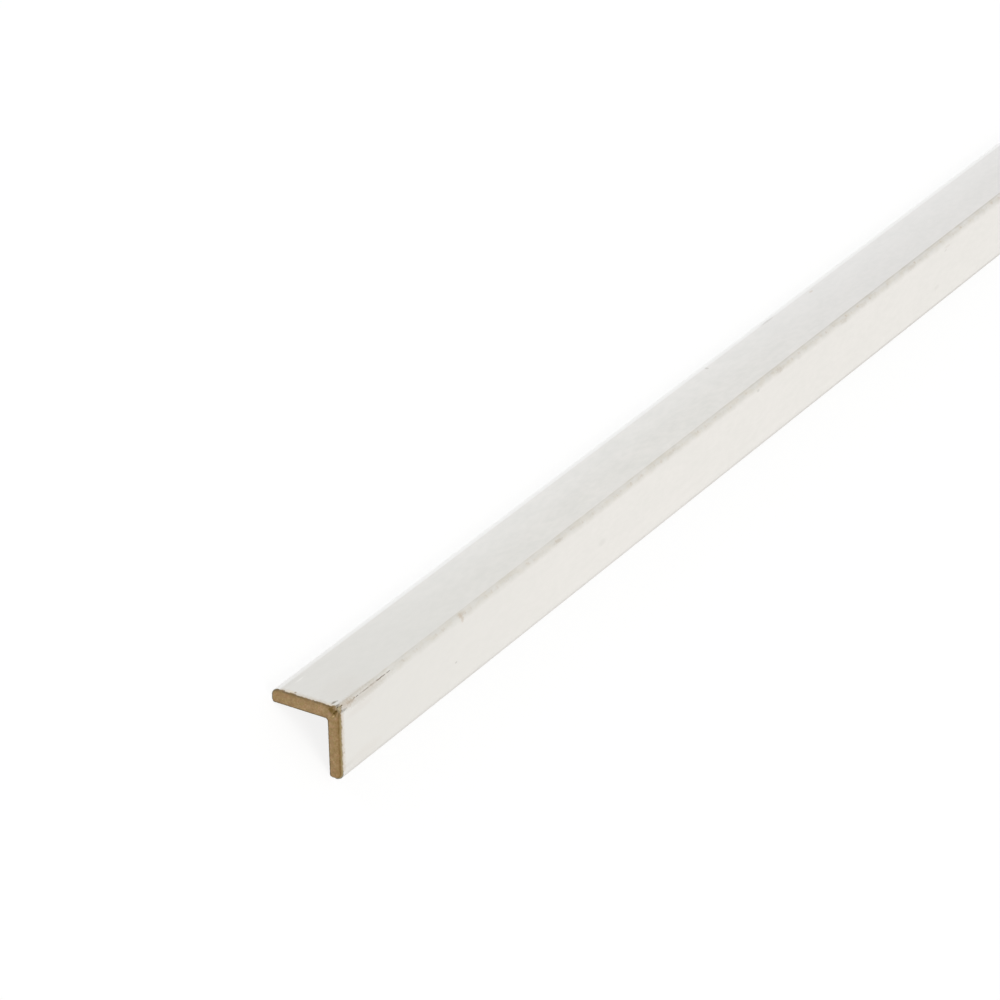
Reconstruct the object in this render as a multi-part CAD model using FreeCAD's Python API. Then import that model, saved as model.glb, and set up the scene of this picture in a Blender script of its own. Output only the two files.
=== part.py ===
import FreeCAD, Part
import math
import os

# Corner guard moulding: a fibreboard angle with a white facing wrapped over its outer side.
# It lies like a tent, outer corner up, with the inner arrises of both tips on the floor.
# Origin: floor level, under the middle of the length. +X runs along the moulding, +Z is up.
# Left and right are as seen from the near end, looking along +X, so the left leg is on the +Y side.
# The section is drawn with two distances from the sharp outer corner, one along each leg.

# Driving dimensions in millimetres
stock_length = 2400.0
leg_width = 20.0
wall_thickness = 4.0
facing_thickness = 0.25

# Roundings of the section, those on the white side measured on the white face
corner_radius = 2.0
tip_outer_radius = 2.2
tip_inner_radius = 0.4
inside_corner_radius = 0.7

# Flat of each tip that stays bare between the end of the facing and the inner arris
bare_tip_strip = 0.1

# The legs meet at a right angle, so each one slopes down from the corner at half of it
leg_slope = math.radians(90.0 / 2)

# The facing ends on the tip, this far from the outer face, and the tip's rounding stops before that
facing_end = wall_thickness - tip_inner_radius - bare_tip_strip
tip_radius = min(tip_outer_radius, facing_end)

# Height of the sharp outer corner, with the lower of the board's inner arrises and the facing's ends
# on the floor
arris_centre_along = leg_width - facing_thickness - tip_inner_radius
arris_centre_deep = wall_thickness - tip_inner_radius
height_over_arris = (arris_centre_along + arris_centre_deep) * math.cos(leg_slope) + tip_inner_radius
height_over_facing_end = (leg_width + facing_end) * math.cos(leg_slope)
corner_height = max(height_over_arris, height_over_facing_end)


def section_point(along_left, along_right):
    """Point of the near end's section, from its distances along the left and the right leg."""
    sideways = (along_left - along_right) * math.sin(leg_slope)
    down = (along_left + along_right) * math.cos(leg_slope)
    return FreeCAD.Vector(-stock_length / 2, sideways, corner_height - down)


def corner_arc(before, corner, after, radius):
    """Start, middle and end of the arc that rounds a corner and is tangent to both of its sides."""
    towards_before = (before - corner).normalize()
    towards_after = (after - corner).normalize()
    half_angle = towards_before.getAngle(towards_after) / 2
    bisector = (towards_before + towards_after).normalize()
    tangent_length = radius / math.tan(half_angle)
    start = corner + towards_before * tangent_length
    middle = corner + bisector * (radius / math.sin(half_angle) - radius)
    end = corner + towards_after * tangent_length
    return start, middle, end


def rounded_outline(corners):
    """Closed wire through corners given as (along left, along right, radius); radius 0 stays sharp."""
    points = [section_point(along_left, along_right) for along_left, along_right, radius in corners]
    radii = [radius for along_left, along_right, radius in corners]
    count = len(points)
    arcs = [corner_arc(points[i - 1], points[i], points[(i + 1) % count], radii[i]) for i in range(count)]
    edges = []
    for i in range(count):
        start, middle, end = arcs[i]
        next_start = arcs[(i + 1) % count][0]
        if radii[i] > 0:
            edges.append(Part.Arc(start, middle, end).toShape())
        edges.append(Part.LineSegment(end, next_start).toShape())
    return Part.Wire(edges)


def outer_side(depth):
    """Rounded corners of the outer side, left tip to right tip, at a depth below the white face."""
    tip = leg_width - depth
    return [
        (tip, depth, tip_radius - depth),
        (depth, depth, corner_radius - depth),
        (depth, tip, tip_radius - depth),
    ]


def run_along_stock(outline):
    """Solid of one section carried along the whole length."""
    return Part.Face(outline).extrude(FreeCAD.Vector(stock_length, 0, 0))


def make_fibreboard_angle():
    """Bare board: two equal legs, its inner side and tips plain, its outer side under the facing."""
    board_tip = leg_width - facing_thickness
    inner_side = [
        (wall_thickness, board_tip, tip_inner_radius),
        (wall_thickness, wall_thickness, inside_corner_radius),
        (board_tip, wall_thickness, tip_inner_radius),
    ]
    return run_along_stock(rounded_outline(outer_side(facing_thickness) + inner_side))


def make_white_facing():
    """Thin layer over both outer faces, the corner and the tips' outer arrises."""
    board_tip = leg_width - facing_thickness
    right_end = [
        (facing_end, leg_width, 0),
        (facing_end, board_tip, 0),
    ]
    left_end = [
        (board_tip, facing_end, 0),
        (leg_width, facing_end, 0),
    ]
    board_side = outer_side(facing_thickness)[::-1]
    return run_along_stock(rounded_outline(outer_side(0) + right_end + board_side + left_end))


def write_node(name, shape):
    """Write one piece to its own file and report its size."""
    box = shape.BoundBox
    shape.exportStep(os.path.join("parts", name + ".step"))
    print(name, "valid", shape.isValid(), "solids", len(shape.Solids),
          "volume cm3", round(shape.Volume / 1000, 2),
          "box mm", round(box.XLength, 2), round(box.YLength, 2), round(box.ZLength, 2),
          "lowest", round(box.ZMin, 3))


os.makedirs("parts", exist_ok=True)
write_node("fibreboard_angle", make_fibreboard_angle())
write_node("white_facing", make_white_facing())
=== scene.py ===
"""Looks of a corner guard moulding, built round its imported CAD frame.

The moulding is a fibreboard angle with a white facing wrapped over its outer side. It lies like a
tent, outer corner up. Two pieces stand for the two CAD nodes: the bare board and the white facing.
Places on the moulding are given in millimetres as (along, across, deep): along from the near cut
end, across the outer outline from the middle of the rounded corner (left leg negative, right leg
positive), and deep below the white face.
"""

import logging
import math
from dataclasses import dataclass, field
from enum import Enum
from typing import Iterable, Sequence

import bpy
import numpy as np
from mathutils import Matrix, Vector


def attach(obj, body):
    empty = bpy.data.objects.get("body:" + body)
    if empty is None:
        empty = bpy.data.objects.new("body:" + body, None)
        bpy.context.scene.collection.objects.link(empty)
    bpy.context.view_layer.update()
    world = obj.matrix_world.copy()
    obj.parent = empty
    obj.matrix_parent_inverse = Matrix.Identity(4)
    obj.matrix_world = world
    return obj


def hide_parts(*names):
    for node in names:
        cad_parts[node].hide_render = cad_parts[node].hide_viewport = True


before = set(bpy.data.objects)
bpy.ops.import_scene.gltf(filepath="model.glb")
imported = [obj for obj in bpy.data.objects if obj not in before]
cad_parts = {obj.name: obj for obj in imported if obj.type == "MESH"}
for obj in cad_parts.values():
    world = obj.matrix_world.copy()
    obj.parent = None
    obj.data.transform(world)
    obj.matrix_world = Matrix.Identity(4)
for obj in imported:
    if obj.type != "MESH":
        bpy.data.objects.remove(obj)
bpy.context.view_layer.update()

LOG = logging.getLogger("corner_guard")
MM = 0.001
SLOPE = math.sqrt(0.5)  # both legs slope at 45 degrees, so this is the sine and the cosine
PLACE = "place"  # name of the vector attribute that holds (along, across, deep)

Colour = tuple[float, float, float]
Socket = bpy.types.NodeSocket
Value = Socket | float | Sequence[float]


class Piece(Enum):
    """The two pieces of the moulding: piece name, CAD node and material slot."""

    BOARD = ("bare_board_angle", "fibreboard_angle", "fibreboard")
    FACING = ("wrapped_white_facing", "white_facing", "white_facing")


class Tone(Enum):
    """Colours of dirt and wear, in linear light; some also serve as painted shade in the crack, the split, under a
    lifted flake and along the torn edge.
    """

    BROWN = (0.30, 0.20, 0.10)
    RUSTY = (0.42, 0.27, 0.13)
    GREY = (0.36, 0.34, 0.30)
    # also painted shadow under a lifted flake, and shadow with dirt at the torn edge
    DUSK = (0.24, 0.205, 0.15)
    OLIVE = (0.50, 0.42, 0.27)
    DARK_OLIVE = (0.165, 0.10, 0.014)
    # also painted shade in the split of the cut end, and shadow with dirt at the torn edge
    DARK = (0.07, 0.05, 0.025)
    # painted shade in the facing's hair crack
    CRACK_SHADE = (0.095, 0.085, 0.068)
    CHIP = (0.60, 0.42, 0.20)
    PINK = (0.46, 0.30, 0.19)
    PALE = (0.90, 0.885, 0.85)
    CREAM = (0.80, 0.73, 0.61)


# Shape helpers


def waves(points: np.ndarray, size: float, seed: int, count: int = 14) -> np.ndarray:
    """Smooth uneven values over points of any dimension.

    The value is the sum of plane sine waves in seeded random directions, whose lengths spread
    from half to twice the size, divided by the root of half their number.

    Args:
        points: Array whose last axis holds the coordinates.
        size: Middle wave length, in the unit of the points.
        seed: Seed of the directions, lengths and phases.
        count: Number of waves.

    Returns:
        Values of about -1.5 to 1.5, one a point.
    """
    rng = np.random.default_rng(seed)
    directions = rng.normal(size=(points.shape[-1], count))
    directions /= np.linalg.norm(directions, axis=0)
    lengths = size * 2.0 ** rng.uniform(-1, 1, count)
    phases = rng.uniform(0, 2 * np.pi, count)
    return np.sin(points @ directions * 2 * np.pi / lengths + phases).sum(-1) / math.sqrt(count / 2)


def hump(distance: np.ndarray, width: float) -> np.ndarray:
    """Bell of height 1: the exponential of minus the square of distance over width."""
    return np.exp(-np.square(distance / width))


def window(values: np.ndarray, start: float, end: float, soft: float) -> np.ndarray:
    """1 between start and end, falling smoothly to 0 within soft outside them."""
    outside = np.maximum(start - values, values - end)
    share = np.clip(1 - outside / soft, 0, 1)
    return share * share * (3 - 2 * share)


@dataclass(frozen=True)
class Section:
    """Section of the moulding in millimetres, the same sizes as in the CAD source.

    A point is (along left, along right): its distances from the sharp outer corner along each
    leg. A path runs from the left tip over the corner to the right tip. Its right half is the
    left half with the two distances swapped.
    """

    length: float = 2400.0
    leg: float = 20.0
    wall: float = 4.0
    facing: float = 0.25
    corner_radius: float = 2.0
    tip_radius: float = 2.2
    arris_radius: float = 0.4
    inside_radius: float = 0.7
    bare_strip: float = 0.1
    tip_steps: int = 9
    face_steps: int = 64
    corner_steps: int = 26

    @property
    def height(self) -> float:
        """Height of the sharp outer corner above the floor."""
        centre = (self.leg - self.facing - self.arris_radius) + (self.wall - self.arris_radius)
        return centre * SLOPE + self.arris_radius

    @property
    def facing_end(self) -> float:
        """Distance of the facing's end from the outer face, on the tip's flat."""
        return self.wall - self.arris_radius - self.bare_strip

    def mirrored(self, half: np.ndarray) -> np.ndarray:
        """Whole path from its left half, whose last point is the middle of the corner."""
        return np.vstack([half, half[-2::-1, ::-1]])

    def arc(self, centre: Sequence[float], radius: float, start: float, end: float, steps: int) -> np.ndarray:
        """Points of an arc: its centre plus radius times (cosine, sine) of even angles.

        Args:
            centre: Centre as (along left, along right).
            radius: Radius.
            start: First angle in degrees.
            end: Last angle in degrees.
            steps: Number of steps.

        Returns:
            Array of steps + 1 points.
        """
        angle = np.radians(np.linspace(start, end, steps + 1))
        return np.asarray(centre) + radius * np.stack([np.cos(angle), np.sin(angle)], -1)

    def outer_path(self, deep: float, tip_flat: bool) -> tuple[np.ndarray, np.ndarray]:
        """Outer outline at a depth below the white face, with its outward normals.

        The normal turns from the tip's flat round the tip's arris, stays along the face and turns
        through half of the corner. A point is the white face's point less deep times the normal.

        Args:
            deep: Depth below the white face.
            tip_flat: Whether the path starts and ends on the tips' flats, where the facing ends.

        Returns:
            Points and normals, one row each.
        """
        tip, corner = self.tip_radius, self.corner_radius
        tip_arc = self.arc((self.leg - tip, tip), tip, 0, -90, self.tip_steps)
        tip_normal = self.arc((0, 0), 1, 0, -90, self.tip_steps)
        face_at = np.linspace(self.leg - tip, corner, self.face_steps + 1)[1:-1]
        face = np.stack([face_at, np.zeros_like(face_at)], -1)
        corner_arc = self.arc((corner, corner), corner, -90, -135, self.corner_steps)
        corner_normal = self.arc((0, 0), 1, -90, -135, self.corner_steps)
        points = [tip_arc, face, corner_arc]
        normals = [tip_normal, np.tile([0.0, -1.0], (len(face), 1)), corner_normal]
        if tip_flat:
            ends = np.array([[self.leg, self.facing_end], [self.leg, (self.facing_end + tip) / 2]])
            points.insert(0, ends)
            normals.insert(0, np.tile([1.0, 0.0], (2, 1)))
        normal = np.vstack(normals)
        return self.mirrored(np.vstack(points) - deep * normal), self.mirrored(normal)

    def inner_path(self) -> np.ndarray:
        """Inner outline of the board, with as many points as the outer path without tip flats."""
        board_tip, arris, inside = self.leg - self.facing, self.arris_radius, self.inside_radius
        arris_arc = self.arc((board_tip - arris, self.wall - arris), arris, 0, 90, self.tip_steps)
        face_at = np.linspace(board_tip - arris, self.wall + inside, self.face_steps + 1)[1:-1]
        face = np.stack([face_at, np.full_like(face_at, self.wall)], -1)
        centre = (self.wall + inside, self.wall + inside)
        inside_arc = self.arc(centre, inside, -90, -135, self.corner_steps)
        return self.mirrored(np.vstack([arris_arc, face, inside_arc]))

    def across(self, path: np.ndarray) -> np.ndarray:
        """Arc length along a path, 0 at its middle point and negative on the left leg."""
        steps = np.linalg.norm(np.diff(path, axis=0), axis=1)
        run = np.concatenate([[0.0], np.cumsum(steps)])
        return run - run[len(run) // 2]

    def to_world(self, along: np.ndarray, point: np.ndarray) -> np.ndarray:
        """Places in the moulding's frame, in metres.

        Sideways is the difference and down is the sum of the two distances, each times the sine
        of 45 degrees. Along is counted from the near end.

        Args:
            along: Distances from the near end.
            point: Points (along left, along right), of the same shape as along and an axis of 2.

        Returns:
            Array of x, y, z.
        """
        left, right = point[..., 0], point[..., 1]
        x = along - self.length / 2
        y = (left - right) * SLOPE
        z = self.height - (left + right) * SLOPE
        return np.stack(np.broadcast_arrays(x, y, z), -1) * MM


@dataclass
class Shell:
    """A mesh in the making: vertices, their places on the moulding, and four-sided faces."""

    points: list[np.ndarray] = field(default_factory=list)
    places: list[np.ndarray] = field(default_factory=list)
    faces: list[np.ndarray] = field(default_factory=list)
    count: int = 0

    def add_points(self, points: np.ndarray, places: np.ndarray) -> np.ndarray:
        """Add a grid of vertices.

        Args:
            points: Grid of x, y, z in metres.
            places: Grid of (along, across, deep) in millimetres.

        Returns:
            Grid of the new vertices' numbers.
        """
        shape = points.shape[:-1]
        numbers = self.count + np.arange(int(np.prod(shape))).reshape(shape)
        self.points.append(points.reshape(-1, 3))
        self.places.append(places.reshape(-1, 3))
        self.count += numbers.size
        return numbers

    def add_faces(self, grid: np.ndarray, flip: bool = False) -> None:
        """Join a grid of vertex numbers with faces, one between each four neighbours.

        Args:
            grid: Grid of vertex numbers.
            flip: Whether the faces point the other way.
        """
        corners = [grid[:-1, :-1], grid[1:, :-1], grid[1:, 1:], grid[:-1, 1:]]
        quads = np.stack(corners[::-1] if flip else corners, -1)
        self.faces.append(quads.reshape(-1, 4))

    def to_object(self, name: str, sharp_degrees: float) -> bpy.types.Object:
        """Make the Blender object, smooth but for edges sharper than an angle.

        Args:
            name: Name of the piece.
            sharp_degrees: Edges that turn by more than this stay sharp.

        Returns:
            The object, linked to the scene and standing at the origin.
        """
        points, faces = np.vstack(self.points), np.vstack(self.faces)
        mesh = bpy.data.meshes.new(name)
        mesh.vertices.add(len(points))
        mesh.vertices.foreach_set("co", points.astype(np.float32).ravel())
        mesh.loops.add(faces.size)
        mesh.loops.foreach_set("vertex_index", faces.astype(np.int32).ravel())
        mesh.polygons.add(len(faces))
        mesh.polygons.foreach_set("loop_start", np.arange(0, faces.size, 4, dtype=np.int32))
        mesh.update(calc_edges=True)
        place = mesh.attributes.new(PLACE, "FLOAT_VECTOR", "POINT")
        place.data.foreach_set("vector", np.vstack(self.places).astype(np.float32).ravel())
        mesh.shade_smooth()
        mesh.set_sharp_from_angle(angle=math.radians(sharp_degrees))
        mesh.validate()
        piece = bpy.data.objects.new(name, mesh)
        bpy.context.scene.collection.objects.link(piece)
        return piece


def stations(runs: Iterable[tuple[float, float]]) -> np.ndarray:
    """Distances from the near end at which the section is repeated.

    Args:
        runs: Pairs of (end of the run, step in it), in order.

    Returns:
        Even steps in each run, with each run's end included once.
    """
    at = [np.zeros(1)]
    for end, step in runs:
        start = at[-1][-1]
        at.append(np.linspace(start, end, max(2, round((end - start) / step) + 1))[1:])
    return np.concatenate(at)


# Shader helpers


class Graph:
    """Short ways to add and join the nodes of one node tree."""

    def __init__(self, tree: bpy.types.NodeTree) -> None:
        """Keep the tree and empty it."""
        self.tree = tree
        tree.nodes.clear()

    def node(self, kind: str, inputs: dict[str | int, Value] | None = None, **settings: object) -> bpy.types.Node:
        """Add a node.

        Args:
            kind: Type of the node, without the leading ShaderNode.
            inputs: Values or sockets for its inputs, by name or number.
            settings: Settings of the node itself.

        Returns:
            The node.
        """
        made = self.tree.nodes.new(kind if kind.startswith("Node") else "ShaderNode" + kind)
        for key, value in settings.items():
            setattr(made, key, value)
        for key, value in (inputs or {}).items():
            self.feed(made.inputs[key], value)
        return made

    def feed(self, socket: Socket, value: Value) -> None:
        """Link a socket to an input, or write a plain value on it."""
        if isinstance(value, bpy.types.NodeSocket):
            self.tree.links.new(value, socket)
        elif isinstance(value, (int, float)):
            socket.default_value = (value,) * 3 if socket.type == "VECTOR" else value
        elif socket.type == "RGBA":
            socket.default_value = (*value[:3], 1.0)
        else:
            socket.default_value = value

    def math(self, operation: str, first: Value, second: Value = 0.0, third: Value = 0.0, clamp: bool = False) -> Socket:
        """Result of a Math node with up to three inputs."""
        made = self.node("Math", {0: first, 1: second, 2: third}, operation=operation, use_clamp=clamp)
        return made.outputs[0]

    def vector(self, operation: str, first: Value, second: Value = 0.0) -> Socket:
        """Result of a Vector Math node: its value for LENGTH, and otherwise its vector."""
        made = self.node("VectorMath", {0: first, 1: second}, operation=operation)
        return made.outputs["Value" if operation == "LENGTH" else "Vector"]

    def ramp(self, value: Value, low: Value, high: Value, out_low: float = 0.0, out_high: float = 1.0) -> Socket:
        """Value spread smoothly from low..high to out_low..out_high."""
        inputs = {"Value": value, "From Min": low, "From Max": high, "To Min": out_low, "To Max": out_high}
        return self.node("MapRange", inputs, interpolation_type="SMOOTHSTEP").outputs["Result"]

    def noise(self, where: Socket, size: Value, detail: float = 2.0, rough: float = 0.5) -> Socket:
        """Noise of 0 to 1 whose blobs are about size across, in the unit of where."""
        scale = self.math("DIVIDE", 1.0, size) if isinstance(size, bpy.types.NodeSocket) else 1.0 / size
        inputs = {"Vector": where, "Scale": scale, "Detail": detail, "Roughness": rough}
        return self.node("TexNoise", inputs).outputs["Fac"]

    def mix(self, share: Value, first: Value, second: Value, blend: str = "MIX") -> Socket:
        """Colour between first and second by a share of 0 to 1."""
        made = self.node("Mix", data_type="RGBA", blend_type=blend, clamp_factor=True)
        for number, value in ((0, share), (6, first), (7, second)):
            self.feed(made.inputs[number], value)
        return made.outputs[2]

    def group(self, tree: bpy.types.NodeTree, **inputs: Value) -> object:
        """Place a node group and return its outputs; inputs are named with _ for a space."""
        made = self.node("Group", node_tree=tree)
        for key, value in inputs.items():
            self.feed(made.inputs[key.replace("_", " ").capitalize()], value)
        return made.outputs


def new_group(name: str, inputs: dict[str, str], outputs: dict[str, str]) -> tuple[Graph, object, object]:
    """Start a shader node group.

    Args:
        name: Name of the group.
        inputs: Socket type by input name.
        outputs: Socket type by output name.

    Returns:
        Its graph, the outputs of its input node and the inputs of its output node.
    """
    tree = bpy.data.node_groups.new(name, "ShaderNodeTree")
    for names, way in ((inputs, "INPUT"), (outputs, "OUTPUT")):
        for key, kind in names.items():
            tree.interface.new_socket(name=key, in_out=way, socket_type="NodeSocket" + kind)
    graph = Graph(tree)
    return graph, graph.node("NodeGroupInput").outputs, graph.node("NodeGroupOutput").inputs


# Shared shader effects


class Effects:
    """Node groups that both finishes use, each built once."""

    def __init__(self) -> None:
        """Build the groups."""
        self.grain = self.build_grain()
        self.smudge = self.build_smudge()
        self.band = self.build_band()

    @staticmethod
    def build_grain() -> bpy.types.NodeTree:
        """Grain of a surface: fine flecks and broad clouds, from noise stretched along the length.

        Returns:
            Group with Where (mm), Fleck size, Cloud size and Stretch, giving Fleck, Cloud and Height.
        """
        inputs = {"Where": "Vector", "Fleck size": "Float", "Cloud size": "Float", "Stretch": "Float"}
        outputs = {"Fleck": "Float", "Cloud": "Float", "Height": "Float"}
        graph, given, out = new_group("surface_grain", inputs, outputs)
        shrink = graph.node("CombineXYZ", {0: graph.math("DIVIDE", 1.0, given["Stretch"]), 1: 1.0, 2: 1.0})
        where = graph.vector("MULTIPLY", given["Where"], shrink.outputs[0])
        fleck = graph.noise(where, given["Fleck size"], detail=3.0, rough=0.62)
        cloud = graph.noise(where, given["Cloud size"], detail=2.0)
        graph.feed(out["Fleck"], graph.ramp(fleck, 0.3, 0.7))
        graph.feed(out["Cloud"], graph.ramp(cloud, 0.28, 0.72))
        graph.feed(out["Height"], graph.math("MULTIPLY_ADD", cloud, 0.6, fleck))
        return graph.tree

    @staticmethod
    def build_smudge() -> bpy.types.NodeTree:
        """One mark, for smudges and for patches of painted shade: full inside an uneven blob round a centre, fading to
        nothing at its rim.

        Returns:
            Group with Place, Centre, Spread (half sizes), Ragged and Strength, giving Mask.
        """
        inputs = {"Place": "Vector", "Centre": "Vector", "Spread": "Vector", "Ragged": "Float", "Strength": "Float"}
        graph, given, out = new_group("smudge", inputs, {"Mask": "Float"})
        offset = graph.vector("SUBTRACT", given["Place"], given["Centre"])
        reach = graph.vector("LENGTH", graph.vector("DIVIDE", offset, given["Spread"]))
        wander = graph.math("SUBTRACT", graph.noise(given["Place"], 0.55, detail=3.0, rough=0.65), 0.5)
        uneven = graph.math("MULTIPLY_ADD", wander, given["Ragged"], reach)
        graph.feed(out["Mask"], graph.math("MULTIPLY", graph.ramp(uneven, 0.25, 1.0, 1.0, 0.0), given["Strength"]))
        return graph.tree

    @staticmethod
    def build_band() -> bpy.types.NodeTree:
        """Band along the length: full between two edges, which are soft and wander unevenly.

        Returns:
            Group with Along, Across, Low, High, Low soft, High soft, Wander and Size, giving Mask.
        """
        names = ("Along", "Across", "Low", "High", "Low soft", "High soft", "Wander", "Size")
        graph, given, out = new_group("ragged_band", dict.fromkeys(names, "Float"), {"Mask": "Float"})
        line = graph.node("CombineXYZ", {0: given["Along"], 1: graph.math("MULTIPLY", given["Across"], 0.35)})
        wander = graph.math("SUBTRACT", graph.noise(line.outputs[0], given["Size"], detail=4.0, rough=0.6), 0.5)
        high = graph.math("MULTIPLY_ADD", wander, given["Wander"], given["High"])
        low_start = graph.math("SUBTRACT", given["Low"], given["Low soft"])
        high_end = graph.math("ADD", high, given["High soft"])
        rise = graph.ramp(given["Across"], low_start, given["Low"])
        fall = graph.ramp(given["Across"], high, high_end, 1.0, 0.0)
        graph.feed(out["Mask"], graph.math("MULTIPLY", rise, fall))
        return graph.tree


@dataclass(frozen=True)
class Mark:
    """One smudge, spot, worn place, or patch of painted shade.

    Its centre and half sizes are in millimetres: (along, across, deep) on the facing and (along,
    sideways, below) on the board, where below is counted from the sharp outer corner.
    """

    tone: Tone
    centre: tuple[float, float, float]
    spread: tuple[float, float, float]
    strength: float
    ragged: float = 0.9


class Surface:
    """The nodes that both finishes start from: place on the moulding, grain, marks and shader."""

    def __init__(self, name: str, effects: Effects) -> None:
        """Make the material and split its place attribute."""
        self.material = bpy.data.materials.new(name)
        self.material.use_nodes = True
        self.graph = Graph(self.material.node_tree)
        self.effects = effects
        place = self.graph.node("Attribute", attribute_name=PLACE)
        self.place = place.outputs["Vector"]
        split = self.graph.node("SeparateXYZ", {0: self.place})
        self.along, self.across, self.deep = split.outputs
        solid = self.graph.node("TexCoord").outputs["Object"]
        self.solid = self.graph.vector("MULTIPLY", solid, 1 / MM)

    def from_corner(self, section: Section) -> Socket:
        """Vector of (along, sideways, below), counted from the sharp outer corner of the near cut."""
        turned = self.graph.vector("MULTIPLY", self.solid, (1.0, 1.0, -1.0))
        return self.graph.vector("ADD", turned, (section.length / 2, 0.0, section.height))

    def add_marks(self, colour: Socket, marks: Iterable[Mark], where: Socket) -> Socket:
        """Lay marks over a colour, one after the other.

        Args:
            colour: Colour below them.
            marks: The marks.
            where: Coordinates in which the marks are given.

        Returns:
            The marked colour.
        """
        for mark in marks:
            mask = self.graph.group(
                self.effects.smudge,
                place=where,
                centre=mark.centre,
                spread=mark.spread,
                ragged=mark.ragged,
                strength=mark.strength,
            )["Mask"]
            colour = self.graph.mix(mask, colour, mark.tone.value)
        return colour

    def finish(self, colour: Socket, roughness: Socket, height: Socket, relief: float, specular: float) -> None:
        """Join colour, roughness and bump to the shader.

        Args:
            colour: Base colour.
            roughness: Roughness.
            height: Height of the bump, of about 0 to 1.
            relief: Real height of that range in metres.
            specular: Specular level of the shader.
        """
        bump = self.graph.node("Bump", {"Height": height, "Strength": 1.0, "Distance": relief})
        inputs = {"Base Color": colour, "Roughness": roughness, "Normal": bump.outputs[0]}
        shader = self.graph.node("BsdfPrincipled", inputs)
        shader.inputs["Specular IOR Level"].default_value = specular
        self.graph.node("OutputMaterial", {"Surface": shader.outputs[0]})


@dataclass(frozen=True)
class FibreboardFinish:
    """Bare brown fibreboard: pressed fibres, denser skins, and a torn corner at the cut with dirt and painted shade.
    """

    section: Section
    body: Colour = (0.362, 0.228, 0.102)
    pale_fibre: Colour = (0.58, 0.42, 0.24)
    dark_fibre: Colour = (0.24, 0.15, 0.055)
    olive_fibre: Colour = (0.33, 0.25, 0.075)
    loose_fibre: Colour = (0.44, 0.37, 0.20)
    warm_fibre: Colour = (0.31, 0.18, 0.055)
    red_fibre: Colour = (0.44, 0.235, 0.12)
    edge_line: Colour = (0.13, 0.105, 0.06)
    left_line: Colour = (0.165, 0.13, 0.07)
    right_line: Colour = (0.19, 0.115, 0.026)
    skin_shade: float = 0.34
    line_shade: float = 0.45
    fleck_size: float = 0.45
    cloud_size: float = 1.4
    marks: tuple[Mark, ...] = ()

    def build(self, effects: Effects) -> bpy.types.Material:
        """Make the material.

        Args:
            effects: The shared node groups.

        Returns:
            The material.
        """
        surface = Surface("bare_fibreboard", effects)
        graph = surface.graph
        grain = graph.group(
            effects.grain, where=surface.solid, fleck_size=self.fleck_size, cloud_size=self.cloud_size, stretch=1.6
        )
        tint = graph.noise(surface.solid, 0.9, detail=2.0)
        colour = graph.mix(graph.ramp(tint, 0.5, 0.66, 0.0, 0.55), self.body, self.red_fibre)
        colour = graph.mix(graph.ramp(tint, 0.34, 0.5, 0.55, 0.0), colour, self.olive_fibre)
        colour = graph.mix(graph.math("MULTIPLY", grain["Fleck"], 0.60), colour, self.pale_fibre)
        dark_share = graph.math("MULTIPLY", graph.math("SUBTRACT", 1.0, grain["Cloud"]), 0.46)
        colour = graph.mix(dark_share, colour, self.dark_fibre)
        colour = self.add_skins(surface, colour)
        colour = surface.add_marks(colour, self.marks, surface.from_corner(self.section))
        roughness = graph.ramp(grain["Fleck"], 0.0, 1.0, 0.78, 0.92)
        surface.finish(colour, roughness, grain["Height"], 0.06 * MM, 0.25)
        return surface.material

    def add_skins(self, surface: Surface, colour: Socket) -> Socket:
        """Denser, darker skins of the board at the rim of the cut.

        The outer skin is darkest in a line, close under the facing on the left leg and deeper on the right leg, where
        loose fibres lie outside it. The inner rim and the tips of the cut are darkened in thin lines.

        Args:
            surface: The surface.
            colour: Colour of the board's core.

        Returns:
            The colour with its skins.
        """
        graph, across = surface.graph, surface.across
        wander = graph.math("SUBTRACT", graph.noise(surface.solid, 0.7, detail=3.0, rough=0.6), 0.5)
        deep = graph.math("MULTIPLY_ADD", wander, 0.45, surface.deep)
        colour = graph.mix(graph.ramp(deep, 0.55, 1.6, self.skin_shade, 0.0), colour, self.dark_fibre)
        warmer = graph.math("MULTIPLY", graph.ramp(deep, 1.0, 3.2, 0.36, 0.0), graph.ramp(across, 1.2, 2.6))
        colour = graph.mix(warmer, colour, self.warm_fibre)
        line_deep = graph.ramp(across, -0.5, 2.2, 0.44, 0.92)
        from_line = graph.math("ABSOLUTE", graph.math("SUBTRACT", deep, line_deep))
        line_colour = graph.mix(graph.ramp(across, 0.0, 2.0), self.left_line, self.right_line)
        broken = graph.ramp(graph.noise(surface.solid, 1.5, detail=3.0, rough=0.6), 0.36, 0.64, 0.35, 1.65)
        line = graph.math("MULTIPLY", graph.ramp(from_line, 0.05, 0.46, self.line_shade, 0.0), broken)
        colour = graph.mix(line, colour, line_colour)
        loose = graph.math("MULTIPLY", graph.ramp(deep, 0.35, 0.85, 0.62, 0.0), graph.ramp(across, 1.2, 2.6))
        colour = graph.mix(loose, colour, self.loose_fibre)
        inner_line = graph.ramp(deep, 3.6, 3.9, 0.0, 0.75)
        tip_line = graph.ramp(graph.math("ABSOLUTE", across), 19.3, 20.0, 0.0, 0.7)
        from_far = graph.math("SUBTRACT", self.section.length, surface.along)
        at_cut = graph.ramp(graph.math("MINIMUM", surface.along, from_far), 0.2, 0.7, 1.0, 0.0)
        lines = graph.math("MULTIPLY", graph.math("MAXIMUM", inner_line, tip_line), at_cut)
        return graph.mix(lines, colour, self.edge_line)


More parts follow.
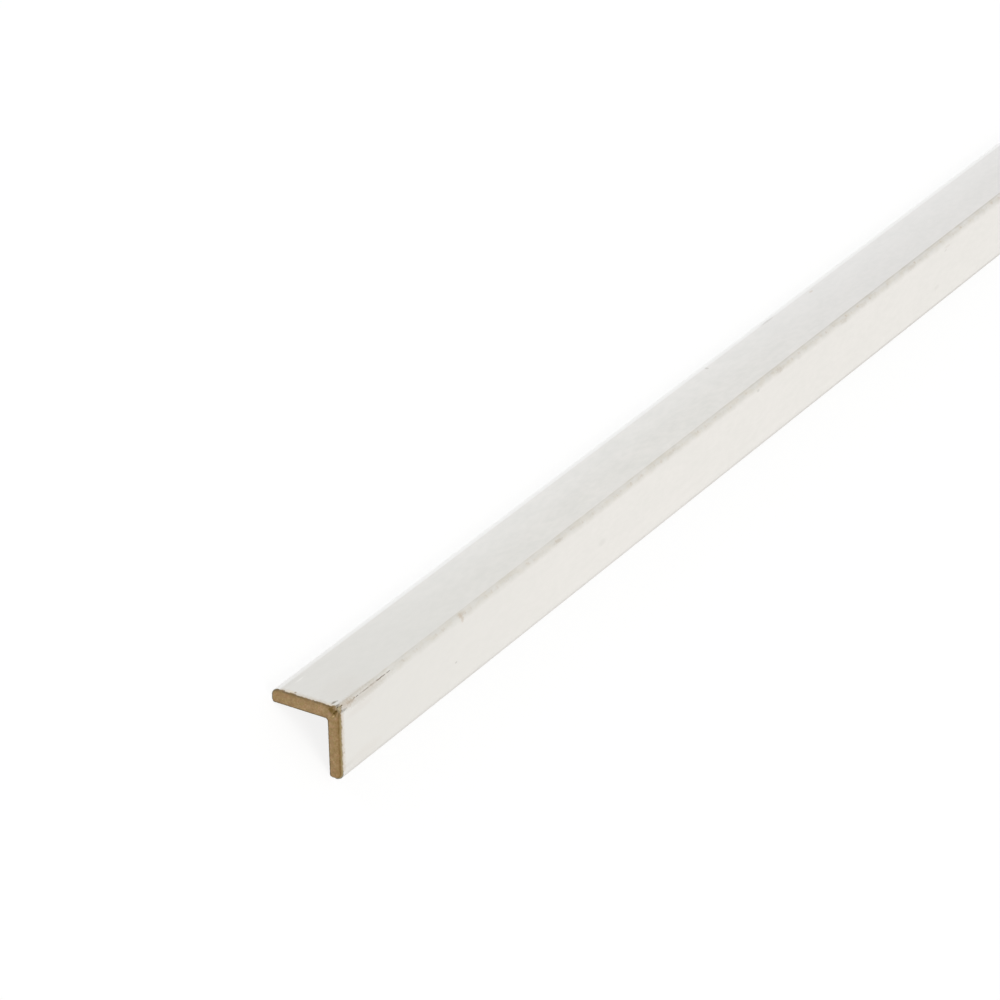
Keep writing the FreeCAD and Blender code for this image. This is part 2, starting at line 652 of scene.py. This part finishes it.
@dataclass(frozen=True)
class FacingFinish:
    """White satin facing: faint mottle, painted shade towards the near end, painted light and a painted highlight at
    the left tip, and a cracked corner with dirt and painted shade.
    """

    white: Colour = (0.862, 0.838, 0.802)
    # white of the painted shade towards the near end
    shaded_white: Colour = (0.79, 0.778, 0.742)
    cool_white: Colour = (0.82, 0.805, 0.815)
    mottle: Colour = (0.775, 0.765, 0.728)
    # white of the painted light and highlight at the left tip
    painted_light_white: Colour = (0.97, 0.965, 0.955)
    # grey of the painted shade under the right tip
    tip_line: Colour = (0.52, 0.50, 0.46)
    tip_edge: Colour = (0.135, 0.115, 0.075)
    # tints of the corner band, which holds dirt and painted shade
    dirt_and_shade_cool: Colour = (0.565, 0.54, 0.475)
    dirt_and_shade_warm: Colour = (0.555, 0.50, 0.385)
    grime_line: Colour = (0.40, 0.37, 0.31)
    torn_edge: Colour = (0.66, 0.60, 0.49)
    frayed: Colour = (0.60, 0.50, 0.38)
    fleck_size: float = 1.5
    cloud_size: float = 6.0
    marks: tuple[Mark, ...] = ()

    def build(self, effects: Effects) -> bpy.types.Material:
        """Make the material.

        Args:
            effects: The shared node groups.

        Returns:
            The material.
        """
        surface = Surface("white_wrapped_facing", effects)
        graph, along, across = surface.graph, surface.along, surface.across
        grain = graph.group(
            effects.grain, where=surface.place, fleck_size=self.fleck_size, cloud_size=self.cloud_size, stretch=2.2
        )
        left_side = graph.ramp(across, -1.5, 1.5, 1.0, 0.0)
        cloud_share = graph.math("MULTIPLY_ADD", left_side, 0.28, 0.17)
        fleck_share = graph.math("MULTIPLY_ADD", left_side, 0.24, 0.22)
        clouds = graph.math("MULTIPLY", grain["Cloud"], cloud_share)
        uneven = graph.math("MULTIPLY_ADD", grain["Fleck"], fleck_share, clouds)
        colour = graph.mix(uneven, self.white, self.mottle)
        # painted shade: the facing is darker towards the near cut end
        near_end_shade = graph.ramp(along, 0.0, 130.0, 0.78, 0.08)
        colour = graph.mix(near_end_shade, colour, self.shaded_white)
        cooler = graph.math("MULTIPLY", left_side, graph.ramp(along, 150.0, 290.0, 0.0, 0.36))
        colour = graph.mix(cooler, colour, self.cool_white)
        colour = self.add_tips(surface, colour)
        colour = self.add_corner_dirt_and_shade(surface, colour)
        colour = self.add_crack(surface, colour)
        torn = graph.math("MULTIPLY", graph.ramp(surface.deep, 0.03, 0.12), graph.ramp(along, 1.5, 4.0, 1.0, 0.0))
        colour = graph.mix(graph.math("MULTIPLY", torn, 0.5), colour, self.torn_edge)
        tip = graph.ramp(graph.math("ABSOLUTE", across), 16.4, 17.6)
        wander = graph.math("SUBTRACT", graph.noise(surface.place, 0.9, detail=4.0, rough=0.6), 0.5)
        reach = graph.math("MULTIPLY_ADD", wander, 2.2, along)
        frayed = graph.math("MULTIPLY", graph.ramp(reach, 0.0, 1.4, 1.0, 0.0), graph.math("SUBTRACT", 1.0, tip))
        fray = graph.math("MULTIPLY", frayed, graph.ramp(across, 0.6, 1.6, 0.42, 0.6))
        colour = graph.mix(fray, colour, self.frayed)
        colour = graph.mix(graph.math("MULTIPLY", graph.math("MULTIPLY", torn, tip), 0.85), colour, self.tip_edge)
        colour = surface.add_marks(colour, self.marks, surface.place)
        roughness = graph.ramp(grain["Fleck"], 0.0, 1.0, 0.42, 0.5)
        surface.finish(colour, roughness, grain["Height"], 0.012 * MM, 0.5)
        return surface.material

    def add_tips(self, surface: Surface, colour: Socket) -> Socket:
        """Painted highlight on the left tip's arris, painted light over the left face further from the cut, and a thin
        grey line of painted shade under the right tip.

        Args:
            surface: The surface.
            colour: Colour of the faces.

        Returns:
            The colour with its tips.
        """
        graph, along, across = surface.graph, surface.along, surface.across
        # painted light over the left face, growing further from the cut
        further = graph.ramp(along, 0.0, 90.0, 0.0, 0.26)
        broad = graph.math("MULTIPLY", graph.ramp(across, -17.0, -5.0, 1.0, 0.0), further)
        # painted highlight on the left tip's rounded arris
        arris_highlight = graph.math("MULTIPLY", graph.ramp(across, -17.45, -16.8, 1.0, 0.0), graph.ramp(along, 0.0, 60.0, 0.6, 0.97))
        colour = graph.mix(graph.math("ADD", broad, arris_highlight), colour, self.painted_light_white)
        # painted shade: a thin grey line along the right tip's lower arris
        line = graph.math("MULTIPLY", graph.ramp(across, 17.25, 18.4), graph.ramp(along, 80.0, 320.0, 0.5, 0.75))
        return graph.mix(line, colour, self.tip_line)

    def add_corner_dirt_and_shade(self, surface: Surface, colour: Socket) -> Socket:
        """Dirt rubbed into the rounded corner, with painted shade in the same band, heavier further along.

        Its edge beside the left face is straight and sharp, with a thin dark line. Its other edge
        is ragged, with brown streaks and dots.

        Args:
            surface: The surface.
            colour: Colour below the dirt and painted shade.

        Returns:
            The dirty colour.
        """
        graph, along, across = surface.graph, surface.along, surface.across
        band = surface.effects.band
        across = graph.math("ADD", across, graph.ramp(along, 150.0, 280.0, 0.0, 0.24))
        growing = graph.ramp(along, 20.0, 260.0, 0.62, 0.82)
        dirt_and_shade_film = graph.group(
            band, along=along, across=across, low=-1.12, high=-0.3, low_soft=0.2, high_soft=2.0, wander=1.8, size=3.0
        )["Mask"]
        drawn_out = graph.node("CombineXYZ", {0: graph.math("MULTIPLY", along, 0.4), 1: across}).outputs[0]
        uneven = graph.math("SUBTRACT", graph.noise(drawn_out, 1.9, detail=4.0, rough=0.6), 0.5)
        patchy = graph.math("MULTIPLY_ADD", uneven, graph.ramp(along, 25.0, 110.0, 3.0, 2.0), 1.0)
        tint = graph.mix(graph.ramp(graph.noise(drawn_out, 1.4, detail=3.0), 0.4, 0.62), self.dirt_and_shade_cool, self.dirt_and_shade_warm)
        dirt_and_shade_film = graph.math("MULTIPLY", graph.math("MULTIPLY", dirt_and_shade_film, patchy), growing)
        # dirt and painted shade darken the rounding below both faces
        colour = graph.mix(graph.math("MULTIPLY", dirt_and_shade_film, 0.5), colour, tint)
        line = graph.group(
            band, along=along, across=across, low=-1.12, high=-0.9, low_soft=0.14, high_soft=0.4, wander=0.35, size=6.0
        )["Mask"]
        lined = graph.math("MULTIPLY", line, graph.ramp(along, 100.0, 300.0, 0.03, 0.20))
        colour = graph.mix(lined, colour, self.grime_line)
        streak = graph.group(
            band, along=along, across=across, low=-0.3, high=0.15, low_soft=0.25, high_soft=0.45, wander=1.2, size=1.6
        )["Mask"]
        line_along = graph.node("CombineXYZ", {0: along, 1: graph.math("MULTIPLY", across, 0.5)}).outputs[0]
        dots = graph.ramp(graph.noise(line_along, 2.4, detail=5.0, rough=0.7), 0.5, 0.72)
        dirt = graph.math("MULTIPLY", graph.math("MULTIPLY", streak, dots), growing)
        return graph.mix(graph.math("MULTIPLY", dirt, 0.6), colour, Tone.RUSTY.value)

    def add_crack(self, surface: Surface, colour: Socket) -> Socket:
        """Hair crack along the corner near the cut end, broken into dashes, with pale lips and painted shade in its
        open gap.

        Args:
            surface: The surface.
            colour: Colour of the unbroken facing.

        Returns:
            The cracked colour.
        """
        graph, along, across = surface.graph, surface.along, surface.across
        crack = Crack()
        wander = graph.math("SUBTRACT", graph.noise(surface.place, 1.6, detail=3.0), 0.5)
        off = graph.math("ABSOLUTE", graph.math("MULTIPLY_ADD", wander, 0.22, graph.math("SUBTRACT", across, crack.across)))
        there = graph.math(
            "MULTIPLY", graph.ramp(along, crack.start - 0.4, crack.start + 0.4), graph.ramp(along, crack.end - 0.4, crack.end + 0.4, 1.0, 0.0)
        )
        lips = graph.math("MULTIPLY", graph.ramp(off, 0.15, 0.8, 1.0, 0.0), there)
        colour = graph.mix(graph.math("MULTIPLY", lips, 0.45), colour, Tone.PALE.value)
        open_share: Value = 0.0
        for centre, half, strength in crack.runs:
            away = graph.math("ABSOLUTE", graph.math("SUBTRACT", along, centre))
            open_share = graph.math("MAXIMUM", open_share, graph.ramp(away, half * 0.7, half * 1.15, strength, 0.0))
        # painted shade in the open gap of the crack
        gap = graph.ramp(off, 0.03, 0.14, 0.9, 0.0)
        return graph.mix(graph.math("MULTIPLY", gap, open_share), colour, Tone.CRACK_SHADE.value)


@dataclass(frozen=True)
class Crack:
    """Place and size of the hair crack along the corner, in millimetres.

    It is broken into runs, each with the middle along the length, the half length and how far open it is.
    """

    start: float = 6.0
    end: float = 21.6
    runs: tuple[tuple[float, float, float], ...] = (
        (6.4, 0.5, 0.6),
        (7.6, 0.55, 0.9),
        (9.1, 0.6, 0.35),
        (11.1, 1.4, 0.65),
        (13.9, 1.0, 0.35),
        (17.6, 2.0, 1.0),
        (20.8, 0.8, 0.75),
    )
    across: float = -0.05
    half_width: float = 0.08
    depth: float = 0.10
    lip_reach: float = 0.35
    trough_reach: float = 0.9
    trough: float = 0.03


# The moulding's two pieces


@dataclass
class WhiteFacing:
    """Thin white layer wrapped over the outer side, torn at the corner of the near cut.

    The outer skin is the section's outer path carried along the length, with all relief sunk
    inwards. The board side follows it, one thickness deeper. Near the cut each line of the skin
    starts where the torn edge leaves it.
    """

    section: Section
    crack: Crack = field(default_factory=Crack)
    sink: float = 0.013
    unevenness: float = 0.008
    torn_run: float = 3.5
    runs: tuple[tuple[float, float], ...] = ((6, 0.2), (24, 0.4), (60, 2.4), (360, 15), (2340, 60), (2400, 20))

    def torn_back(self, across: np.ndarray) -> np.ndarray:
        """How far the near edge is torn back along the length.

        A fine ragged edge everywhere, a deep and more ragged tear at the corner with a thin tongue
        left standing in it, and small chips on both legs.

        Args:
            across: Places across the outer outline.

        Returns:
            Distances in millimetres, never below 0.
        """
        ragged = waves(across[:, None], 0.5, 13) + 0.6 * waves(across[:, None], 0.2, 14)
        fine = 0.08 + 0.04 * waves(across[:, None], 1.6, 11) + 0.035 * waves(across[:, None], 0.5, 12)
        tear = 1.4 * hump(across + 0.5, 0.78) + 0.45 * hump(across - 0.6, 0.3) + 0.5 * hump(across + 1.75, 0.4)
        tear = tear * (1 + 0.16 * ragged)
        tongue = 0.8 * hump(across + 1.1, 0.12)
        chips = 0.30 * hump(across + 13.6, 0.5) + 0.20 * hump(across + 16.3, 0.6) + 0.12 * hump(across - 12.4, 0.4)
        worn = 0.13 * hump(across - 3.3, 0.6) + 0.26 * hump(across - 5.0, 0.6) + 0.10 * hump(across + 5.5, 1.2)
        return np.maximum(fine + tear - tongue + chips + worn, 0.0)

    def relief(self, along: np.ndarray, across: np.ndarray) -> np.ndarray:
        """Depth of the white face's relief below the true section, as a value of 0 or less.

        It is slight unevenness, the crack with its lips standing up out of a shallow trough, and the
        slit of a small flake that stands off near the cut.

        Args:
            along: Distances from the near end.
            across: Places across the outer outline, of the same shape.

        Returns:
            Heights in millimetres along the outward normal.
        """
        spots = np.stack([along * 0.5, across], -1)
        base = -self.sink - self.unevenness * (0.5 + waves(spots, 5.0, 21) / 3)
        crack = self.crack
        there = window(along, crack.start, crack.end, 0.6)
        wander = 0.05 * waves(along[..., None], 2.5, 22)
        off = across - crack.across - wander
        trough = crack.trough * hump(off, crack.trough_reach) * (1 - hump(off, crack.lip_reach))
        gap = crack.depth * hump(off, crack.half_width) * (0.75 + 0.25 * waves(along[..., None], 1.3, 23))
        slit = 0.16 * hump(across + 2.72 - 0.25 * (along - 1.1), 0.2) * window(along, 0.7, 1.6, 0.6)
        return np.minimum(base, 0) - there * (trough + gap) - slit

    def build(self) -> bpy.types.Object:
        """Build the mesh.

        Returns:
            The closed skin, 0.25 mm thick.
        """
        section = self.section
        path, normal = section.outer_path(0, tip_flat=True)
        across = section.across(path)
        at = stations(self.runs)
        near = window(at, -1, 0, self.torn_run)[:, None]
        along = np.minimum(at[:, None] + self.torn_back(across) * near, section.length)
        across_grid = np.broadcast_to(across, along.shape)
        height = self.relief(along, across_grid)
        shell = Shell()
        skins = []
        for deep in (0.0, section.facing):
            lift = np.where(deep > 0, np.minimum(height, 0) * 0 - deep, height)
            points = section.to_world(along, path + lift[..., None] * normal)
            places = np.stack([along, across_grid, np.full_like(along, deep)], -1)
            skins.append(shell.add_points(points, places))
        outer, inner = skins
        ring = np.concatenate([outer, inner[:, ::-1], outer[:, :1]], axis=1)
        shell.add_faces(ring, flip=True)
        for end, flip in ((0, False), (-1, True)):
            shell.add_faces(np.stack([outer[end], inner[end]], -1), flip=flip)
        return shell.to_object(Piece.FACING.value[0], sharp_degrees=50)

    def finish(self) -> FacingFinish:
        """Finish of this facing, with the marks that handling left on it, and painted shadow under a lifted flake and
        along the torn edge.
        """
        ridge = [
            Mark(Tone.RUSTY, (52.5, -0.2, 0), (1.5, 0.9, 1), 0.26, 1.8),
            Mark(Tone.RUSTY, (52.4, 0.9, 0), (0.9, 1.3, 1), 0.30, 1.8),
            Mark(Tone.BROWN, (97.3, 0.15, 0), (2.6, 0.7, 1), 0.24, 1.8),
            Mark(Tone.BROWN, (153.0, 0.1, 0), (3.0, 0.7, 1), 0.12, 2.2),
            Mark(Tone.GREY, (198.3, 1.3, 0), (1.0, 0.6, 1), 0.26, 1.8),
            Mark(Tone.BROWN, (210.8, 0.3, 0), (2.6, 0.9, 1), 0.22, 2.2),
            Mark(Tone.GREY, (221.0, 0.8, 0), (2.2, 0.8, 1), 0.12, 2.2),
            Mark(Tone.BROWN, (246.7, 0.5, 0), (2.4, 0.8, 1), 0.18, 2.2),
            Mark(Tone.BROWN, (258.0, 0.2, 0), (3.0, 0.8, 1), 0.12, 2.2),
            Mark(Tone.BROWN, (286.7, 0.2, 0), (3.4, 0.9, 1), 0.15, 2.2),
            Mark(Tone.BROWN, (308.3, 2.0, 0), (2.4, 0.7, 1), 0.12, 2.2),
        ]
        cut_corner = [
            Mark(Tone.RUSTY, (3.0, -0.2, 0), (4.4, 1.5, 1), 0.26, 1.4),
            Mark(Tone.BROWN, (11.0, 0.5, 0), (13.0, 2.0, 1), 0.18, 1.2),
            Mark(Tone.BROWN, (7.0, -1.2, 0), (10.0, 0.8, 1), 0.12, 1.2),
            Mark(Tone.BROWN, (4.8, 0.05, 0), (1.6, 0.36, 1), 0.32, 1.6),
            Mark(Tone.BROWN, (6.4, -0.15, 0), (0.6, 0.34, 1), 0.35, 1.2),
            Mark(Tone.BROWN, (15.0, -0.05, 0), (7.0, 0.4, 1), 0.22, 1.2),
            Mark(Tone.GREY, (1.3, 0.75, 0), (1.7, 0.46, 1), 0.72),
            # painted shadow under the lifted flake, along its slit, in this mark and the next
            Mark(Tone.DUSK, (1.35, -2.65, 0), (1.2, 0.52, 1), 0.85, 0.8),
            Mark(Tone.GREY, (2.3, -2.35, 0), (0.7, 0.4, 1), 0.50, 1.0),
            # dark streak at the torn edge: dirt and painted shadow
            Mark(Tone.DUSK, (1.0, -1.15, 0), (1.0, 0.45, 1), 0.80, 1.0),
            Mark(Tone.BROWN, (0.5, 11.9, 0), (0.6, 0.4, 1), 0.40),
            Mark(Tone.BROWN, (0.6, -13.06, 0), (0.45, 0.4, 1), 0.85),
            Mark(Tone.CREAM, (0.3, -14.3, 0), (0.9, 1.6, 1), 0.90),
            Mark(Tone.PINK, (8.0, -5.0, 0), (10.0, 6.0, 1), 0.045),
            Mark(Tone.PINK, (7.5, 3.0, 0), (8.0, 1.6, 1), 0.06),
            Mark(Tone.PINK, (9.0, 16.0, 0), (10.0, 2.6, 1), 0.05),
            Mark(Tone.CREAM, (0.25, -3.0, 0), (0.7, 1.4, 1), 0.60),
            Mark(Tone.GREY, (2.0, 16.0, 0), (3.0, 0.8, 1), 0.08, 0.3),
            Mark(Tone.GREY, (4.0, -16.5, 0), (9.0, 0.7, 1), 0.07, 0.3),
        ]
        faces = [
            Mark(Tone.GREY, (49.0, 11.4, 0), (0.7, 0.35, 1), 0.40),
            Mark(Tone.GREY, (117.5, 10.0, 0), (2.2, 1.3, 1), 0.09),
            Mark(Tone.GREY, (307.0, 2.9, 0), (1.1, 0.5, 1), 0.20),
            Mark(Tone.GREY, (302.0, 12.6, 0), (2.0, 1.0, 1), 0.10),
            Mark(Tone.GREY, (200.0, -16.6, 0), (0.7, 0.8, 1), 0.35),
            Mark(Tone.GREY, (234.0, -17.1, 0), (5.0, 0.5, 1), 0.28),
            Mark(Tone.RUSTY, (257.0, -16.0, 0), (1.3, 0.6, 1), 0.25),
            Mark(Tone.PALE, (6.2, -15.62, 0), (2.4, 0.34, 1), 0.85),
        ]
        return FacingFinish(marks=(*ridge, *cut_corner, *faces))


@dataclass
class FibreboardAngle:
    """The board: its outline carried along the length and closed by two cut ends.

    Each cut end is a grid between the outer and the inner outline. The near one is sunk a little
    all over by the saw, and split across its corner.
    """

    section: Section
    cut_steps: int = 30
    saw_depth: float = 0.03
    runs: tuple[tuple[float, float], ...] = ((6, 0.5), (24, 3), (2376, 168), (2400, 12))

    def cut_relief(self, point: np.ndarray) -> np.ndarray:
        """How far the near cut end is sunk at points of the section.

        It is the saw's fine unevenness, a split that runs from near the outer corner halfway to
        the inside corner, and a torn hollow round it with one chip left standing.

        Args:
            point: Points (along left, along right).

        Returns:
            Depths in millimetres.
        """
        saw = self.saw_depth * (1 + 0.5 * waves(point, 0.8, 31) + 0.3 * waves(point, 0.35, 32))
        start, end = np.array([1.2, 1.15]), np.array([2.3, 2.15])
        run = end - start
        share = np.clip((point - start) @ run / (run @ run), 0, 1)
        off = np.linalg.norm(point - start - share[..., None] * run, axis=-1)
        split = 0.30 * hump(off, 0.13) * (0.6 + 0.4 * waves(point, 0.5, 33))
        torn = 0.07 * hump(np.linalg.norm(point - [2.2, 1.3], axis=-1), 1.6) * waves(point, 0.6, 34)
        hollow = 0.20 * hump(np.linalg.norm(point - [2.0, 1.0], axis=-1), 1.3) + torn
        chip = 0.12 * hump(np.linalg.norm(point - [2.38, 2.84], axis=-1), 0.25)
        return np.maximum(saw + split + hollow - chip, 0.004)

    def build(self) -> bpy.types.Object:
        """Build the mesh.

        Returns:
            The closed board.
        """
        section, steps = self.section, self.cut_steps
        outer, _ = section.outer_path(section.facing, tip_flat=False)
        inner = section.inner_path()
        share = np.linspace(0, 1, steps + 1)[:, None, None]
        grid = outer * (1 - share) + inner * share
        across = np.broadcast_to(section.across(outer), grid.shape[:2])
        deep = section.facing + (section.wall - section.facing) * np.broadcast_to(share[..., 0], grid.shape[:2])
        rim = self.rim_of(np.arange(grid.shape[0] * grid.shape[1]).reshape(grid.shape[:2]))
        at = stations(self.runs)
        near = self.cut_relief(grid)
        flat, flat_across, flat_deep = grid.reshape(-1, 2), across.ravel(), deep.ravel()
        shell = Shell()
        fade = window(at, -1, 0, 5.0)[:, None]
        along = at[:, None] + near.ravel()[rim] * fade
        points = section.to_world(along, np.broadcast_to(flat[rim], (*along.shape, 2)))
        places = np.stack([along, np.broadcast_to(flat_across[rim], along.shape), np.broadcast_to(flat_deep[rim], along.shape)], -1)
        sides = shell.add_points(points, places)
        shell.add_faces(np.concatenate([sides, sides[:, :1]], axis=1), flip=True)
        for end, cut_along in ((0, near), (-1, np.full(grid.shape[:2], section.length))):
            self.close_end(shell, sides[end], rim, grid, np.stack([cut_along, across, deep], -1), flip=end == 0)
        return shell.to_object(Piece.BOARD.value[0], sharp_degrees=40)

    @staticmethod
    def rim_of(numbers: np.ndarray) -> np.ndarray:
        """Numbers round the rim of a grid: its first row, last column, last row and first column."""
        return np.concatenate([numbers[0], numbers[1:-1, -1], numbers[-1, ::-1], numbers[-2:0:-1, 0]])

    def close_end(
        self, shell: Shell, rim_numbers: np.ndarray, rim: np.ndarray, grid: np.ndarray, places: np.ndarray, flip: bool
    ) -> None:
        """Close one end with a grid whose rim is the end of the sides.

        Args:
            shell: The mesh in the making.
            rim_numbers: Vertex numbers of the sides' end.
            rim: Flat places of the rim in the grid.
            grid: Points of the section.
            places: Their places on the moulding.
            flip: Whether the faces point the other way.
        """
        points = self.section.to_world(places[..., 0], grid)
        inside = shell.add_points(points[1:-1, 1:-1], places[1:-1, 1:-1])
        numbers = np.zeros(grid.shape[0] * grid.shape[1], dtype=np.int64)
        numbers[rim] = rim_numbers
        numbers = numbers.reshape(grid.shape[:2])
        numbers[1:-1, 1:-1] = inside
        shell.add_faces(numbers, flip=flip)

    def finish(self) -> FibreboardFinish:
        """Finish of this board, with the dark, torn corner of its near cut end: dirt, with painted shade in its split
        and beside the torn facing.
        """
        marks = (
            Mark(Tone.BROWN, (0.3, 0.5, 2.9), (2.0, 2.2, 2.1), 0.45, 1.4),
            Mark(Tone.DARK_OLIVE, (0.3, 0.8, 3.0), (1.6, 1.9, 1.3), 0.55, 1.8),
            Mark(Tone.DARK_OLIVE, (0.3, 1.3, 3.1), (1.6, 1.2, 0.9), 0.62, 1.4),
            Mark(Tone.DARK_OLIVE, (0.3, 0.05, 2.4), (1.2, 0.5, 1.3), 0.85, 1.2),
            # painted shade in the split across the corner
            Mark(Tone.DARK, (0.3, 0.05, 2.3), (1.0, 0.18, 0.6), 0.35, 0.8),
            Mark(Tone.DARK_OLIVE, (0.3, -0.35, 2.9), (1.0, 0.5, 0.6), 0.65, 1.2),
            Mark(Tone.CHIP, (0.2, -0.39, 3.71), (0.8, 0.26, 0.6), 1.00, 0.5),
            Mark(Tone.PINK, (0.2, 0.67, 1.75), (0.9, 0.36, 0.55), 0.80, 0.8),
            Mark(Tone.PINK, (0.2, 0.64, 4.3), (0.9, 0.7, 0.7), 0.50, 1.4),
            Mark(Tone.PINK, (0.2, -1.13, 3.85), (0.9, 0.5, 0.45), 0.45, 1.2),
            Mark(Tone.RUSTY, (0.2, -0.7, 4.5), (0.9, 0.5, 0.5), 0.45, 1.2),
            Mark(Tone.OLIVE, (0.8, 0.45, 1.2), (1.6, 1.9, 0.85), 0.90, 1.0),
            # dark streaks beside the facing's torn edge: dirt and painted shadow, in this mark and the next
            Mark(Tone.DARK, (0.88, 0.84, 1.3), (0.5, 0.3, 0.3), 0.85, 1.0),
            Mark(Tone.DARK, (0.39, 0.66, 1.21), (0.4, 0.24, 0.3), 0.80, 1.0),
        )
        return FibreboardFinish(self.section, marks=marks)


def dress(piece: bpy.types.Object, kind: Piece, material: bpy.types.Material) -> None:
    """Give a piece its material and body, hide the CAD node it stands for, and report it.

    Args:
        piece: The piece.
        kind: Which piece it is.
        material: Its material.
    """
    name, node, slot = kind.value
    piece.data.materials.append(material)
    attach(piece, "root")
    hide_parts(node)
    LOG.info("%s: %d faces, stands for %s, finish %s", name, len(piece.data.polygons), node, material.name)


# Studio


@dataclass(frozen=True)
class Lamp:
    """A wide soft lamp, far away, so that it lights the whole length alike."""

    name: str
    towards: tuple[float, float, float]
    strength: float
    width_degrees: float
    colour: Colour

    def build(self) -> None:
        """Add the lamp; towards is the direction from the moulding to it."""
        light = bpy.data.lights.new(self.name, "SUN")
        light.energy = self.strength
        light.angle = math.radians(self.width_degrees)
        light.color = self.colour
        holder = bpy.data.objects.new(self.name, light)
        holder.rotation_mode = "QUATERNION"
        holder.rotation_quaternion = Vector(self.towards).to_track_quat("Z", "Y")
        bpy.context.scene.collection.objects.link(holder)


@dataclass(frozen=True)
class Studio:
    """Pale floor, even sky, two soft lamps and the camera at the photograph's viewing angle."""

    floor_half: float = 30.0
    floor_white: Colour = (0.90, 0.90, 0.89)
    floor_lift: float = 0.80
    backdrop: float = 1.05
    sky: float = 0.62
    lamps: tuple[Lamp, ...] = (
        Lamp("key_lamp", (-0.25, -0.75, 0.85), 1.05, 40, (1.0, 0.985, 0.96)),
        Lamp("fill_lamp", (-0.15, 0.95, 0.30), 0.80, 50, (0.96, 0.985, 1.0)),
    )
    camera_at: tuple[float, float, float] = (-1.919652, 0.004578, 0.746506)
    camera_forward: tuple[float, float, float] = (0.742019, 0.011224, -0.670285)
    camera_up: tuple[float, float, float] = (0.401493, 0.793267, 0.457745)
    focal_pixels: float = 4371.9
    image_pixels: float = 1000.0
    sensor_mm: float = 36.0

    def build(self) -> None:
        """Build the floor, the sky, the lamps and the camera."""
        self.build_floor()
        self.build_sky()
        for lamp in self.lamps:
            lamp.build()
        self.build_camera()
        bpy.context.scene.view_settings.view_transform = "Standard"
        LOG.info("studio: floor, sky, %d lamps, camera", len(self.lamps))

    def build_floor(self) -> None:
        """A plain white sheet at floor level, unseen from below.

        What the camera and reflections see of it is lifted towards plain white by a share, so the
        moulding's shadow stays, but faint.
        """
        half = self.floor_half
        mesh = bpy.data.meshes.new("studio_floor")
        corners = [(-half, -half, 0), (half, -half, 0), (half, half, 0), (-half, half, 0)]
        mesh.from_pydata(corners, [], [(0, 1, 2, 3)])
        floor = bpy.data.objects.new("studio_floor", mesh)
        bpy.context.scene.collection.objects.link(floor)
        material = bpy.data.materials.new("studio_white")
        material.use_nodes = True
        graph = Graph(material.node_tree)
        sheet = graph.node("BsdfDiffuse", {"Color": self.floor_white})
        glow = graph.node("Emission", {"Strength": self.backdrop})
        lifted = graph.math("MULTIPLY", self.shown(graph), self.floor_lift)
        lit = graph.node("MixShader", {0: lifted, 1: sheet.outputs[0], 2: glow.outputs[0]})
        below = graph.node("NewGeometry").outputs["Backfacing"]
        clear = graph.node("BsdfTransparent")
        either = graph.node("MixShader", {0: below, 1: lit.outputs[0], 2: clear.outputs[0]})
        graph.node("OutputMaterial", {"Surface": either.outputs[0]})
        mesh.materials.append(material)

    @staticmethod
    def shown(graph: Graph) -> Socket:
        """1 where a camera, glossy or transmission ray looks, and 0 where light is gathered."""
        path = graph.node("LightPath").outputs
        mirrored = graph.math("MAXIMUM", path["Is Glossy Ray"], path["Is Transmission Ray"])
        return graph.math("MAXIMUM", path["Is Camera Ray"], mirrored)

    def build_sky(self) -> None:
        """Even sky: plain white where it is seen or mirrored, and weaker where it lights."""
        world = bpy.data.worlds.new("studio_sky")
        world.use_nodes = True
        graph = Graph(world.node_tree)
        strength = graph.math("MULTIPLY_ADD", self.shown(graph), 1.0 - self.sky, self.sky)
        back = graph.node("Background", {"Color": (1.0, 1.0, 1.0), "Strength": strength})
        graph.node("OutputWorld", {"Surface": back.outputs[0]})
        bpy.context.scene.world = world

    def build_camera(self) -> None:
        """Camera fitted to the photograph: its axes are made square from forward and up."""
        lens = bpy.data.cameras.new("photo_camera")
        lens.sensor_width = self.sensor_mm
        lens.lens = self.focal_pixels / self.image_pixels * self.sensor_mm
        lens.clip_start, lens.clip_end = 0.01, 200.0
        holder = bpy.data.objects.new("photo_camera", lens)
        forward = Vector(self.camera_forward).normalized()
        right = forward.cross(Vector(self.camera_up)).normalized()
        up = right.cross(forward)
        turned = Matrix((right, up, -forward)).transposed().to_4x4()
        turned.translation = Vector(self.camera_at)
        holder.matrix_world = turned
        bpy.context.scene.collection.objects.link(holder)
        bpy.context.scene.camera = holder


def main() -> None:
    """Build the studio and both pieces, in order."""
    logging.basicConfig(level=logging.INFO, format="%(name)s: %(message)s")
    Studio().build()
    effects = Effects()
    section = Section()
    for maker, kind in ((FibreboardAngle(section), Piece.BOARD), (WhiteFacing(section), Piece.FACING)):
        dress(maker.build(), kind, maker.finish().build(effects))


if __name__ == "__main__":
    main()
